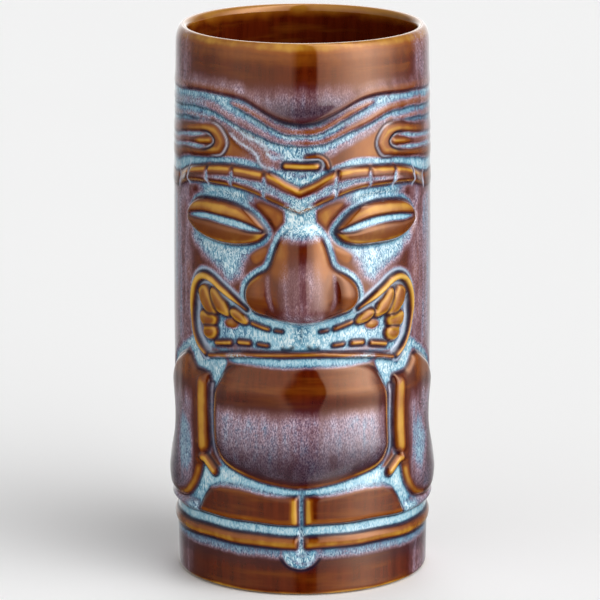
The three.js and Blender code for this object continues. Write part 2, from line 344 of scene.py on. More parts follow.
def hair_curl(wall):
    """The broad curl at the temple: a ribbon round a hollow, with a tongue in it."""
    x = wall.x
    in_front = fade(x, 72, 84)
    flat = towards_back(wall)
    curl = wall.depth(curve(CURL))
    wall.form(curl, 0.7 * flat, 1.0, 3, 0.3, in_front)
    wall.outline(curl + 0.15, in_front * (0.9 - 0.5 * smooth(x, 27, 33)))
    ribbon = 1 - 0.4 * smooth(x, 34, 46)
    wall.thin(in_front * ribbon * (0.4 * smooth(curl, 0.5, 1.4) + 0.42 * band(curl, 1.7, 2.6, 0.8)))
    wall.pool(in_front * 0.34 * smooth(x, 34, 44) * fade(curl, 0.3, 1.2))
    wall.thread(in_front * 0.9 * near_zero(curl - 0.25, 0.0, 0.28) * fade(x, 27, 31))
    heart = wall.depth(curve(CURL_HEART))
    wall.height -= in_front * flat * 0.7 * smooth(heart, -0.3, 0.6)
    wall.bare(in_front * smooth(heart, -0.2, 0.2))
    wall.outline(heart, in_front * (1 - 0.5 * smooth(x, 32, 36)), 0.5)
    wall.pool(in_front * 0.7 * smooth(heart, -0.1, 0.4) * smooth(x, 30, 35))
    wall.thread(in_front * 0.8 * near_zero(heart - 0.5, 0.0, 0.3) * fade(x, 31, 34))
    tongue = 1.3 - 0.4 * smooth(x, 34, 40) - wall.off(CURL_TONGUE)
    wall.form(tongue, 0.9 * flat, 1.3, where=in_front)
    wall.thin(in_front * 0.8 * smooth(tongue, 0.1, 1.2) * fade(x, 34, 41))
    tongue_side = in_front * 0.3 * smooth(tongue, 0.0, 0.6) * smooth(x, 36, 43)
    wall.pool(tongue_side)
    wall.thin(tongue_side)
    wall.pool(0.36 * in_front * smooth(x, 42, 52) * band(wall.z, 131, 149, 1))


def hair_drips(wall):
    """Pools over the temples and the brow band, and two runs of glaze beside the jewel."""
    x, z = wall.x, wall.z
    left = smooth(-wall.arc, -2, 6)
    wall.pool(0.56 * left * band(x, 30, 62, 5) * band(z, 141, 149.5, 0.8))
    low_drip, high_drip = wall.off(DRIP_LOW), wall.off(DRIP_HIGH)
    between = left * smooth(x, 8, 10) * fade(low_drip + high_drip, 4.5, 6.5)
    wall.height += 0.3 * between
    wall.thin(0.3 * between)
    for drip in (low_drip, high_drip):
        wall.pool(0.62 * left * fade(drip, 0.2, 1.6))
        wall.thread((0.6 + 0.25 * np.sin(1.3 * x + z)) * left * fade(drip, 0.0, 0.45))
        wall.crease(0.45 * left * near_zero(drip - 0.9, 0.1, 0.5) * smooth(x, 9, 12))
    over_brow = smooth(wall.under(POOL_TOP), -1.0, 0.9) * (wall.under(BROW_TOP) < 0.5) * fade(x, 60, 80)
    wall.pool(0.84 * over_brow * fade(wall.depth(curve(CURL)), -0.3, 0.3))


def jewel(wall):
    arc, z = wall.arc, wall.z
    pill = 1.15 - wall.off(JEWEL)
    arch = 0.8 - wall.off(ARCH)
    right = smooth(arc, -0.5, 1.5)
    wall.form(arch, 0.7, 0.8, where=right)
    wall.thin(0.36 * right * smooth(arch, 0, 0.5))
    wall.outline(arch, right)
    around = smooth(z, 129.5, 131) * smooth(arc, -6, -2)
    wall.thread(0.95 * around * near_zero(pill + 0.9, 0.0, 0.3))
    wall.form(pill, 1.0, 1.15)
    wall.thin(smooth(pill, 0.1, 0.8))
    wall.outline(pill, 1.0, 0.4)


BROW_TOP = [(0, 124.6), (4, 126.4), (8, 128.6), (12, 129.6), (20, 130), (30, 129.4), (38, 128),
            (45, 126.2), (52, 124.6), (62, 124), (120, 124)]
BROW_BOTTOM = [(0, 116.6), (4, 118.4), (8, 120.2), (14, 122.2), (20, 123.2), (30, 123.6), (40, 122.9),
               (50, 121), (62, 119.6), (120, 119.5)]
BROW_TIES = [10.7, 21.5, 30.8, 40.5, 49.8]
UPPER_ROLL = 5.0
LOWER_ROLL = 2.2


def brow_band(wall):
    x, z = wall.x, wall.z
    top = wall.under(BROW_TOP)
    bottom = -wall.under(BROW_BOTTOM)
    inside = np.minimum(top, bottom)
    side = 1 - 0.9 * smooth(x, 36, 50)
    wall.form(inside, 0.7 * side, 1.3)
    wall.height += side * (swell(np.minimum(top, UPPER_ROLL - top), UPPER_ROLL / 2)
                           + 0.6 * swell(np.minimum(bottom, LOWER_ROLL - bottom), LOWER_ROLL / 2))
    wall.outline(top, 0.9)
    wall.outline(bottom, 0.8)
    facing = 1 - 0.5 * smooth(x, 43, 54)
    wall.thin(0.95 * facing * smooth(top, 0.25, 1.0) * fade(top, 1.1, 2.6))
    wall.thin(1.1 * facing * band(bottom, 0.25, 0.9, 0.35))
    wall.darken(0.7 * band(bottom, 1.0, 1.7, 0.35) + 0.3 * band(top, 2.4, 3.2, 0.6))
    middle = smooth(top, 2.4, 4.0) * smooth(bottom, 1.2, 2.4)
    wall.pool(0.63 * middle * (1 - 0.4 * smooth(x, 36, 46)))
    wall.pool(0.84 * middle * fade(x, 1, 13))
    for tie in BROW_TIES:
        lean = np.abs(x - tie - 0.25 * np.sin(z + tie))
        across = fade(lean, 0.25, 0.95) * smooth(inside, -1.2, 0.2)
        wall.height -= 0.45 * across * smooth(inside, 0.2, 1)
        wall.bare(0.8 * across)
        wall.pool(0.72 * across * smooth(top, 1.0, 2.2))
        wall.crease(0.8 * across * band(top, 0.3, 1.5, 0.4))
        run = near_zero(x - tie - 0.5 - 0.4 * np.sin(z), 0.1, 0.5)
        wall.thread(0.7 * run * band(bottom, -1.0, 1.6, 0.5) * smooth(x, 26, 30))
        wall.thread(0.6 * run * band(bottom, 0.5, 7, 0.8) * smooth(x, 36, 40))
    wall.pool(0.72 * fade(-bottom, 0.2, 2.0) * (bottom < 0) * fade(x, 38, 50))


EYE = [(10.4, 110.8), (12, 113.3), (15, 116), (19, 117.9), (24, 118.9), (30, 119.1), (35, 118.5), (39, 117),
       (41.6, 114.8), (42.4, 112.6), (41.3, 110.6), (38, 108.6), (33, 106.9), (27, 106.1), (20, 106.2),
       (15, 107), (12, 108.5)]
SLIT = [(10.8, 111), (15, 112.9), (20, 114.2), (25, 114.8), (30, 115), (35, 114.6), (41.6, 113),
        (35, 112.3), (30, 112.4), (25, 112), (20, 111.3), (15, 110.6)]
TEARS = [(14, 106.5), (40, 107.5), (33, 102.5), (27, 99.5), (23.5, 96), (20.5, 98), (19, 102)]


def eye(wall):
    arc, x, z = wall.arc, wall.x, wall.z
    tears = wall.depth(TEARS)
    wall.pool((0.84 - 0.06 * smooth(arc, 0, 20)) * smooth(tears, -5.5, 2.6))
    brow_gap = band(z, 118.5, 124, 1.2) * band(x, 14, 36, 5)
    wall.pool(0.8 * brow_gap)
    lids = wall.within(EYE)
    slit = wall.within(SLIT)
    wall.height -= 0.8 * near_zero(lids + 1.4, 0.2, 1.8)
    wall.halo(lids, 0.6, 2.4, 0.8)
    wall.form(lids, 1.0, 1.3, 5.0, 1.1)
    wall.outline(lids)
    wall.height -= smooth(slit, -0.5, 0.5)
    upper = smooth(z, 111.6 + 0.04 * x, 113.4 + 0.04 * x)
    wall.thin(upper * (0.5 + 0.26 * smooth(-slit, 0.4, 2.4)) * smooth(lids, 0.1, 1.5))
    wall.thin((1 - upper) * (0.48 * smooth(lids, 0.2, 1.2) + 0.4 * band(lids, 0.5, 1.3, 0.5)))
    wall.darken((1 - upper) * 0.35 * smooth(lids, 0.8, 2))
    wall.thin((1 - upper) * 0.8 * fade(x, 12.5, 16.5) * smooth(lids, 0.2, 0.8))
    wall.bare(smooth(slit, -0.25, 0.15))
    wall.slot(slit)
    wall.crease(0.95 * near_zero(slit, 0.15, 0.5) * np.maximum(upper, fade(x, 16, 22)))
    wall.crease(0.4 * near_zero(slit, 0.1, 0.4))
    wall.pool(0.97 * smooth(slit, 0.05, 0.6))


NOSE = [(0, 113.4), (3.5, 112.6), (5.6, 110.5), (7.2, 107.5), (8.4, 104), (9.4, 101), (10.8, 99.3),
        (13.2, 98), (15.8, 96), (17.4, 93.5), (17.7, 90.5), (16.4, 88), (13.8, 86.4), (10, 85.4),
        (6, 84.2), (3, 83.5), (0, 83.2)]
NOSTRIL_VALLEY = [(9.9, 99), (9.7, 96), (9.4, 91), (8.2, 87)]
BRIDGE_WIDTH, BRIDGE_TAPER = 10.4, 0.16
WING_CENTRE, WING_RADII = (12.4, 91.8), (5.6, 7)
INNER_PATCH = [(5.2, 116), (7.6, 112.6), (9.6, 115.6), (13.4, 119.3), (8.5, 118.6)]
CHEEK_PATCH = [(10.6, 106.4), (10.8, 103.4), (14, 101), (15.6, 103.4)]


def nose(wall):
    x, z = wall.x, wall.z
    for outline, amount in ((INNER_PATCH, 0.55), (CHEEK_PATCH, 0.5)):
        patch = wall.within(outline)
        wall.bare(smooth(patch, -0.5, 0.3))
        wall.thin(amount * smooth(patch, -0.4, 0.8))
        wall.gap = np.minimum(wall.gap, np.maximum(-patch, 0) + 0.25)
    shape = wall.within(mirrored(NOSE))
    wall.halo(shape, 1.2, 1.3, 0.88)
    soft_root = smooth(z, 107, 110.5) * fade(x, 4.5, 6.5)
    root = band(z, 112, 119.5, 0.8) * fade(x, 3.8, 5.6)
    wall.pool(0.84 * root)
    wall.form(shape, 1.3, 1.7, 6, 0.5)
    bridge = np.clip(1 - (x / (BRIDGE_WIDTH - BRIDGE_TAPER * (z - 90))) ** 2, 0, 1) ** 1.6
    tip = smooth(-z, -116, -92) * smooth(z, 82, 88)
    wall.height += 2.6 * bridge * tip
    wing = wall.oval(WING_CENTRE, WING_RADII)
    wall.height += 1.2 * np.clip(1 - wing ** 2, 0, 1) ** 1.5
    valley = wall.off(NOSTRIL_VALLEY)
    wall.height -= 0.1 * fade(valley, 0, 2.2) * smooth(shape, 0.3, 1)
    wall.outline(shape, fade(z, 108, 111), 0.36)
    inside = smooth(shape, 0.2, 1.0)
    flank = band(x, 3.5, 8.6, 1.4) * smooth(z, 94, 101) * fade(z, 109, 112)
    wall.thin(0.5 * inside * flank)
    wall.thin(inside * 0.24 * smooth(x, 9.8, 12.5))
    wall.gilded_edge(shape, 0.8 * smooth(x, 9.8, 13), 0.7, 1.1)
    wall.pool(inside * (0.28 * fade(x, 4, 9.5) * fade(z, 98, 110) + 0.08 * fade(z, 85, 88)))
    wall.pool(0.38 * fade(valley, 0.0, 1.3) * smooth(shape, 0.8, 1.8) * smooth(z, 86, 89))
    # A pale patch over the top of the nose bridge, kept clear of creases: a painted highlight.
    wall.pool(0.86 * smooth(shape, -1.2, -0.8) * smooth(z, 106, 112.5) * fade(x, 5, 7))
    wall.gap = np.where(wall.gap > 0, wall.gap + 3 * soft_root, 0)
    # The underside of the nose tip is darkened: painted shade.
    wall.darken(0.5 * inside * fade(z, 84, 88))


MOUTH_FRAME = [(17.5, 87.1), (21, 89.3), (26, 92), (30, 94.4), (33.5, 95.2), (36.8, 94), (39, 90.8),
               (39.9, 86), (39.7, 81.5), (38.4, 77), (36, 73.7), (32.8, 71.5)]
FRAME_HALF_WIDTH = 1.35
MOUTH = [(0, 83.6), (6, 84.4), (12, 85.4), (17, 86.4), (21.5, 88.8), (26, 91.2), (30, 93.3), (33.5, 94),
         (36, 93), (38, 90.3), (38.8, 86), (38.6, 81.5), (37.2, 77.3), (34.8, 73.6), (31, 71.6), (22, 72.8),
         (10, 74.6), (0, 74.8)]
LOWER_LIP = [(0, 74.3), (8, 74.2), (15, 73.4), (22, 72.5), (31, 71.2)]
BAR_TEETH = [
    (0.45, [(5.9, 81), (8.1, 81.3)]),
    (0.7, [(10.4, 81.6), (13, 82.2), (15.8, 82.9)]),
    (0.6, [(10.3, 76.6), (13.4, 76.7)]),
    (0.9, [(16.4, 76.6), (20, 76.4)]),
    (0.9, [(23.2, 75.9), (26, 75.6), (29, 75.2)]),
]
GUM_MARKS = (0.55, [(2.4, 76.2), (4, 75.4), (5.6, 75.9)])
FANG_GROWTH = 0.75
FANGS = [
    [(17.5, 82.9), (19, 82.7), (21.1, 83.4), (22.8, 84.6), (23.2, 85.8), (21.5, 86), (19.3, 85),
     (17.8, 83.8)],
    [(24.1, 84.5), (25.7, 84.4), (27.6, 84.9), (29, 85.7), (30.2, 87.4), (31.1, 89.7), (31, 91.4),
     (29.3, 90.9), (27.2, 88.9), (25.2, 87.2)],
    [(29.1, 84), (30.7, 83.9), (32.7, 84.3), (34.9, 85.7), (36.5, 87.6), (36.8, 89.9), (35.9, 91.3),
     (34.6, 91.9), (33.4, 91.3), (32.2, 89.4), (31, 87.2), (29.9, 85.7)],
    [(29, 82.6), (29.5, 81.2), (31.3, 80.3), (33.7, 80), (35.3, 80.5), (36.3, 81.8), (36.1, 83.7),
     (33.9, 83.6), (31.6, 83.2), (29.7, 83.3)],
    [(28.8, 78.1), (29.9, 76.9), (31.9, 76.4), (33.5, 76.8), (34.4, 78), (33.9, 79.2), (31.9, 79.6),
     (29.9, 79.8), (28.9, 79.3)],
]


def mouth(wall):
    x, z = wall.x, wall.z
    inside = wall.within(mirrored(MOUTH))
    wall.height -= 1.1 * smooth(inside, -0.4, 1.4)
    hollow = smooth(inside, -0.3, 0.3)
    wall.bare(hollow)
    wall.pool(hollow * (0.92 - 0.14 * smooth(x, 8, 26)))
    inner_edge = hollow * smooth(x, 25, 30) * fade(inside, 1.2, 2.2)
    wall.thick *= 1 - 0.55 * inner_edge
    wall.thread(0.5 * hollow * smooth(x, 27, 31) * near_zero(inside - 0.7, 0.0, 0.35))
    gums = band(z, 73.8, 75.4, 0.5) * band(x, 4, 29, 2)
    wall.thick -= 0.42 * gums * hollow
    taper = 1 - 0.4 * smooth(-z, -90, -80) - 0.45 * fade(x, 18, 25) * (z > 84)
    frame_form = FRAME_HALF_WIDTH * taper - wall.off(MOUTH_FRAME)
    wall.halo(frame_form, 0.8, 1.8, 0.66)
    wall.thread(0.5 * near_zero(frame_form + 0.95, 0.1, 0.5))
    wall.form(frame_form, 1.6, FRAME_HALF_WIDTH)
    wall.thin(1.08 * smooth(frame_form, -0.1, 0.8))
    wall.outline(frame_form, 1.0, 0.4)
    wall.crease(0.7 * near_zero(frame_form + 0.35, 0.2, 0.6) * smooth(inside, 0.3, 0.7))
    lip = 0.8 - wall.off(LOWER_LIP)
    wall.form(lip, 1.2, 0.8)
    wall.thin(0.85 * smooth(lip, 0, 0.75))
    wall.outline(lip, 0.9, 0.3)
    for half_width, line in BAR_TEETH:
        tooth(wall, half_width - wall.off(line), 0.75)
    for outline in FANGS:
        tooth(wall, wall.within(outline) + FANG_GROWTH, 1.0)
    half_width, line = GUM_MARKS
    wall.crease(0.9 * smooth(half_width - wall.off(line), -0.2, 0.2))
    wall.thick -= 0.16 * fade(x, 0.5, 4) * band(z, 76, 83, 1) * hollow
    wall.crease(0.5 * fade(x, 0.1, 0.5) * band(z, 77.5, 82.5, 0.8))
    spot = wall.oval((23.2, 81.7), (3.2, 1.8))
    wall.thick *= 1 - 0.9 * fade(spot, 0.6, 1.1)
    wall.thin(0.6 * fade(spot, 0.5, 1.0))
    wall.height += 0.4 * fade(spot, 0, 1.2)


def tooth(wall, shape, height):
    wall.form(shape, height, 0.8, 2.5, 0.5)
    wall.outline(shape, 0.95, 0.32)
    wall.thin(0.55 * smooth(shape, 0, 0.6) + 0.42 * band(shape, 0.4, 1.1, 0.5))


BELLY = [(0, 70.4), (10, 70.4), (18, 70.1), (22.5, 69), (25.2, 66.6), (27.2, 63.6), (28.5, 60.8), (29, 57),
         (29.1, 46), (28.4, 42.8), (26.6, 39.8), (23, 37.4), (17, 35.6), (9, 34.2), (0, 33)]
BELLY_TOP, BELLY_CREST = 70, 40
BELLY_REACH = 14.0
CORNER_POOL = [(24, 70.6), (27, 71.4), (31, 70.2), (34, 69.4), (37.5, 72.6), (41, 74.4), (43, 72.6),
               (40, 70.2), (38.6, 67.6), (36.4, 66.6), (32.6, 66), (31, 63.6), (30, 60.8), (29, 61.4),
               (26.6, 64), (25.4, 67)]


def belly(wall):
    x, z = wall.x, wall.z
    shape = wall.within(mirrored(BELLY), BELLY_REACH)
    soft_top = smooth(z, 67, 69.5) * fade(x, 19, 23)
    lip_pool = smooth(z, 69.2, 71.2) * fade(z, 72.6, 73.6) * fade(x, 21, 26)
    corner = wall.within(CORNER_POOL)
    wall.pool(0.88 * smooth(corner, -1.0, 0.8))
    wall.height -= 0.5 * smooth(corner, -0.6, 0.8)
    wall.halo(shape, 1.1, 0.5, (0.85 - 0.35 * smooth(z, 40, 44)) * fade(z, 62, 64))
    wall.form(shape, 0.6 + 0.55 * smooth(z, 34, 46), 1.8, 10, 0.3)
    rise = (z - BELLY_CREST) / (BELLY_TOP - BELLY_CREST)
    bulge = np.clip(1 - np.where(rise > 0, rise, 2.4 * rise) ** 2, 0, 1)
    wall.height += 1.7 * bulge * smooth(shape, 0, 6)
    wall.height += 0.55 * smooth(x, 0, 9.5) * band(z, 60, 66, 3.5) * smooth(shape, 0, 4)
    wall.pool(0.9 * lip_pool)
    side = smooth(x, 8, 24)
    low = fade(z, 60, 63.5)
    wall.gilded_edge(shape, low * (0.45 + 0.5 * side), 0.5 + 0.5 * side, 1.1)
    wall.outline(shape, 0.85 * (1 - soft_top), 0.25)
    speckle = smooth(shape, 0.8, 3.6) * fade(z, 53.5, 61)
    wall.pool(speckle * (0.36 + 0.06 * smooth(z, 38, 47)))
    # Darker below the belly's crest, where the bulge turns down: painted shade.
    wall.darken(0.95 * smooth(shape, 0.5, 2.5) * fade(z, 39, 55))
    wall.darken(0.45 * band(z, 57, 61, 1.8) * smooth(shape, 0.5, 2.5))


SHOULDER = [(40, 74.6), (45, 72.6), (50, 70.2), (56, 67), (62, 62), (66, 56), (67, 50)]
ARM = [(31, 65.2), (34, 65.8), (37, 66.3), (39.5, 68.5), (41.5, 70.4), (46, 70.2), (52, 68), (58, 65),
       (63, 60), (60, 55), (57, 50), (57, 45), (60, 41), (66, 37), (72, 33), (71, 27), (63, 25.2),
       (54, 24.8), (47, 25.2), (42, 26.4), (38, 29.4), (35.7, 33), (34.5, 36.5), (33.2, 40),
       (31.2, 43.5), (30.9, 52), (30.9, 60)]
ARM_STRIP = [(32.7, 62.4), (32.6, 52), (32.8, 43.4)]
THUMB = [(33.4, 39.4), (29.4, 36)]
THUMB_RADIUS = 1.75
GROOVE = [(30.2, 62.4), (30, 52), (29.9, 45), (29.2, 41.8), (27.2, 38.8), (24, 36.4)]
HAND_EDGE = [(35.8, 35.5), (37.2, 32.4), (39.6, 29.4), (43, 27.2), (47, 26)]


def arms(wall):
    x, z = wall.x, wall.z
    shape = wall.within(ARM)
    shoulder = wall.off(SHOULDER)
    in_front = fade(x, 66, 76)
    along = in_front * smooth(z, 48, 62)
    wall.height -= 0.6 * fade(shoulder, 0.4, 2.4) * along
    wall.pool(0.82 * fade(shoulder, 0.3, 2.8) * along)
    wall.halo(shape, 0.6, 1.2, 0.74 * in_front * smooth(x, 30, 32) * fade(z, 58, 64))
    wall.form(shape, 1.2 - 0.5 * smooth(x, 40, 52) * smooth(z, 40, 56), 1.8, 9, 0.5, in_front)
    wall.outline(shape, 0.9 * in_front)
    inside = smooth(shape, 0.1, 0.8) * in_front
    elbow = wall.oval((58, 29), (16, 9))
    wall.height += 0.5 * fade(elbow, 0, 1) * in_front
    strip = 1.9 + 1.2 * smooth(x, 32.6, 34) - wall.off(ARM_STRIP)
    wall.height += 0.4 * swell(strip, 1.9)
    wall.thin(0.78 * smooth(strip, 0.0, 1.9))
    top = smooth(z, 60, 65) * inside
    wall.thin(0.45 * top * smooth(x, 39, 43))
    edge = 2.2 - wall.off(HAND_EDGE)
    wall.thin(0.66 * smooth(edge, 0, 1.9) * inside)
    away = smooth(x, 35, 40) * fade(z, 54, 66) * smooth(shape, 0.5, 4) * in_front
    wall.pool(0.4 * away)
    blue = wall.oval((43.5, 43), (7, 13))
    wall.pool(0.62 * away * fade(blue, 0.3, 1.5))
    wall.darken(0.75 * away * smooth(blue, 0.5, 1.2) * fade(z, 44, 60))
    thumb = THUMB_RADIUS - wall.off(THUMB)
    wall.form(thumb, 1.5, THUMB_RADIUS)
    wall.thin(0.95 * smooth(thumb, 0.1, 1.5))
    wall.outline(thumb, 1 - inside)


def groove(wall):
    """The narrow channel between the belly and the arm holds a pale thread of glaze between dark sides."""
    z = wall.z
    off = wall.off(GROOVE)
    channel = fade(off, 0.9, 1.2) * smooth(z, 38, 42) * fade(wall.within(mirrored(BELLY)), 0, 0.3)
    wall.bare(channel)
    wall.pool(0.5 * channel)
    wall.thread(0.22 * fade(off, 0.0, 0.4) * channel)
    wall.crease(0.95 * smooth(off, 0.2, 0.5) * channel)


LEG = [(0.9, 30.8), (6, 31.2), (13, 32.1), (20, 32.8), (27, 32.6), (30.5, 31), (33.5, 27.4), (36.6, 22.6),
       (36.6, 21.8), (0.9, 21.8)]
LEDGE_TOP = 25.0
LEDGE_START = 37
RECESS_TOP = 21.8
RECESS_BOTTOM = 18.4
BAND_BOTTOM = 14.6
SPECKLE_BOTTOM = 11.6
DROP_TOP = 14.4
DROP_HALF_WIDTH = 6.2
DROP_LENGTH = 5.8


def legs(wall):
    x, z = wall.x, wall.z
    leg = wall.depth(LEG)
    basin = band(z, 20, 37.5, 0.6) * fade(x, 38, 46) * (wall.gap > 0)
    wall.pool((0.82 + 0.12 * smooth(z, 29, 32)) * basin)
    recess = band(z, RECESS_BOTTOM, RECESS_TOP, 0.35)
    wall.height -= 0.5 * recess
    wall.bare(recess)
    wall.pool(0.92 * recess)
    wall.crease(0.8 * (band(z, RECESS_TOP - 0.5, RECESS_TOP - 0.1, 0.25)
                       + 0.7 * band(z, RECESS_BOTTOM + 0.1, RECESS_BOTTOM + 0.6, 0.3)))
    ledge = band(z, RECESS_TOP - 0.1, LEDGE_TOP, 0.5) * smooth(x, 36.4, 37.2)
    wall.form(np.minimum(np.minimum(z - RECESS_TOP, LEDGE_TOP - z), x - LEDGE_START), 1.25, 1.6)
    wall.pool((0.45 + 0.3 * fade(x, 39, 46)) * ledge)
    soft_top = smooth(z, 29.5, 31.5) * smooth(x, 3, 6)
    wall.form(leg, 1.0, 1.5)
    wall.pool(0.62 * soft_top * smooth(leg, -0.6, 0.3) * fade(leg, 0.3, 1.8))
    end = smooth(x, 0.8, 1.6) * fade(x, 2.2, 4.2) * band(z, 22.3, 30.2, 0.7)
    wall.thin(0.86 * end)
    wall.thin(0.5 * band(z, 22.3, 23.8, 0.5) * smooth(leg, 0.1, 0.5))
    wall.outline(leg, 1 - soft_top)


def foot_band(wall):
    """The raised hoop, the strap that crosses it in front, and the glaze that ran on below them."""
    arc, x, z = wall.arc, wall.x, wall.z
    behind = smooth(x, 0.8, 1.8)
    half = (RECESS_BOTTOM - BAND_BOTTOM) / 2
    hoop = half - np.abs(z - (RECESS_BOTTOM + BAND_BOTTOM) / 2)
    below_band = fade(z, BAND_BOTTOM, BAND_BOTTOM + 0.5)
    wall.pool(0.6 * (smooth(z, SPECKLE_BOTTOM - 1.8, SPECKLE_BOTTOM + 1.4) * below_band))
    wall.form(hoop, 0.8 - 0.1 * smooth(x, 36, 50), half, where=behind)
    wall.thin(behind * smooth(hoop, 0.1, 0.9) * (0.66 - 0.32 * smooth(z, 16.0, 17.8)))
    wall.outline(np.minimum(hoop, x - 0.8), 1.0, 0.4)
    strap = fade(x, 0.5, 0.95) * band(z, 10, 33.2, 0.5)
    wall.height -= 0.4 * strap
    wall.bare(strap)
    wall.pool(0.8 * strap)
    wall.crease(0.5 * fade(x, 0.1, 0.3) * band(z, 14, 33.2, 0.5))
    drop = DROP_LENGTH * (1 - wall.oval((0, DROP_TOP), (DROP_HALF_WIDTH, DROP_LENGTH)))
    hanging = z < BAND_BOTTOM - 0.2
    wall.bare(smooth(drop, -0.4, 0.4) * hanging)
    wall.pool((0.72 + 0.16 * np.sin(2.6 * drop + 0.5 * arc)) * smooth(drop, -0.4, 0.5) * hanging)
    wall.height += 0.25 * smooth(drop, 0, 1.5) * hanging
    wall.crease(0.9 * near_zero(drop + 0.3, 0.2, 0.8) * (z < 12))
    wall.darken(0.75 * band(z, 8.5, 12, 2.2) * (drop < 0))
    wall.thin(0.8 * fade(z, 0.7, 1.7))


def rim_zone(wall):
    arc, x, z = wall.arc, wall.x, wall.z
    wall.thin(0.66 * smooth(z, 162.5, 166))
    wall.thin(0.25 * smooth(z, 157.5, 163))
    centre = fade(x, 6, 20)
    haze = 0.31 + 0.08 * centre + 0.05 * smooth(-arc, 10, 50)
    wall.pool(haze * fade(z, 149, 160) * smooth(z, 140, 146))
    above_hair = -wall.under(HAIR_LINE)
    veil = (0.28 + 0.12 * smooth(-arc, 0, 15)) * smooth(above_hair, -0.5, 0.5)
    wall.pool(veil * fade(above_hair, 0.5, 9) * fade(x, 60, 90))
    wall.darken(centre * smooth(z, 141, 143) * fade(z, 146, 154))


def cheeks(wall):
    arc, x, z = wall.arc, wall.x, wall.z
    ragged = 4 * np.sin(0.37 * x) + 2.5 * np.sin(0.83 * x + 1)
    height = smooth(z, 70 + ragged, 92 + ragged) * fade(z, 116, 122)
    height = np.maximum(height, band(z, 72, 119, 3) * fade(x, 52, 66))
    behind = 1 - 0.75 * smooth(x, 62, 90)
    wall.pool((0.24 + 0.1 * smooth(arc, 0, 9)) * smooth(x, 38, 44) * height * behind)
    wall.pool(0.55 * smooth(x, 45, 52) * height * behind * (0.85 + 0.15 * np.sin(0.9 * x + 1)))
    wall.thin(0.3 * band(x, 41, 45, 2) * band(z, 92, 99, 3))
    streaks = (0.6 + 0.4 * np.sin(2.1 * x)) * smooth(arc, 0, 9)
    wall.thin(0.3 * streaks * band(x, 41, 50, 3) * band(z, 78, 116, 6))


def carve(arcs, heights):
    wall = Wall(arcs, heights)
    for feature in (rim_zone, cheeks, hair, hair_curl, hair_drips, jewel, eye, brow_band, nose, mouth, belly,
                    arms, legs, foot_band):
        feature(wall)
    wall.settle()
    groove(wall)
    return wall


# ---- Meshes ----

ARC_STEP = 0.3
BACK_ARC_STEP = 0.6
HEIGHT_STEP = 0.3
FRONT_HALF = 63.0
HIDDEN_STEP = 10
LIP_STEPS, HIDDEN_LIP_STEPS = 14, 4
CORNER_STEPS, BEND_STEPS = 8, 9
INSIDE_SIDES, UNDERSIDE_SIDES = 256, 128
HEIGHT_BLUR = 1.3
# The glaze's fields and how far each is softened, in cells of the grid.
FIELDS = {"thick": 1.2, "gold": 1.0, "line": 0.7, "deep": 2.0, "pale": 0.5, "calm": 2.0}


def soften(field, sigma):
    """Gaussian blur of a field over the grid, sigma in cells, wrapping round the mug."""
    reach = int(3 * sigma) + 1
    kernel = np.exp(-0.5 * (np.arange(-reach, reach + 1) / sigma) ** 2)
    kernel /= kernel.sum()
    out = sum(k * np.roll(field, s, axis=1) for k, s in zip(kernel, range(-reach, reach + 1)))
    padded = np.pad(out, ((reach, reach), (0, 0)), mode="edge")
    return sum(k * padded[i:i + out.shape[0]] for i, k in enumerate(kernel))


def wall_arcs():
    front = np.linspace(-FRONT_HALF, FRONT_HALF, round(2 * FRONT_HALF / ARC_STEP), endpoint=False)
    rest = GIRTH - 2 * FRONT_HALF
    back = np.linspace(FRONT_HALF, GIRTH - FRONT_HALF, round(rest / BACK_ARC_STEP), endpoint=False)
    arcs = np.concatenate([front, back])
    return np.where(arcs > GIRTH / 2, arcs - GIRTH, arcs)


def rings_to_mesh(name, rings, poles=()):
    """A mesh through rings of points. Two poles close its ends, or else the last ring joins the first."""
    count, rows = len(rings[0]), len(rings)
    points = np.concatenate(rings)
    i, j = np.meshgrid(np.arange(rows - 1 if poles else rows), np.arange(count), indexing="ij")
    up, right = (i + 1) % rows, (j + 1) % count
    corners = [i * count + j, i * count + right, up * count + right, up * count + j]
    faces = np.stack(corners, -1).reshape(-1, 4).tolist()
    for pole, row in zip(poles, (0, rows - 1)):
        around = row * count + np.arange(count)
        after = np.roll(around, -1)
        tip = np.full(count, len(points))
        points = np.vstack([points, pole])
        faces += np.stack([tip, after, around] if row == 0 else [tip, around, after], -1).tolist()
    mesh = bpy.data.meshes.new(name)
    mesh.from_pydata((points * MM).tolist(), [], faces)
    mesh.validate()
    mesh.shade_smooth()
    piece = bpy.data.objects.new(name, mesh)
    bpy.context.scene.collection.objects.link(piece)
    return piece


def ring(arcs, radius, z):
    angle = arcs / UNROLL_RADIUS
    x, y = radius * np.sin(angle), AXIS_Y / MM - radius * np.cos(angle)
    return np.stack([x, y, np.full(arcs.shape, z)], -1)


def outer_lip(arcs, below, steps):
    """Rings from the top of the wall to the lip's crest, this far below the glaze's surface."""
    start = RIM_TOP - LIP_DROP
    width = plain_radius(start) - LIP_CREST_RADIUS - below
    angles = np.linspace(0, math.pi / 2, steps + 1)[1:]
    return [ring(arcs, LIP_CREST_RADIUS + width * math.cos(t), start + (LIP_DROP - below) * math.sin(t))
            for t in angles]


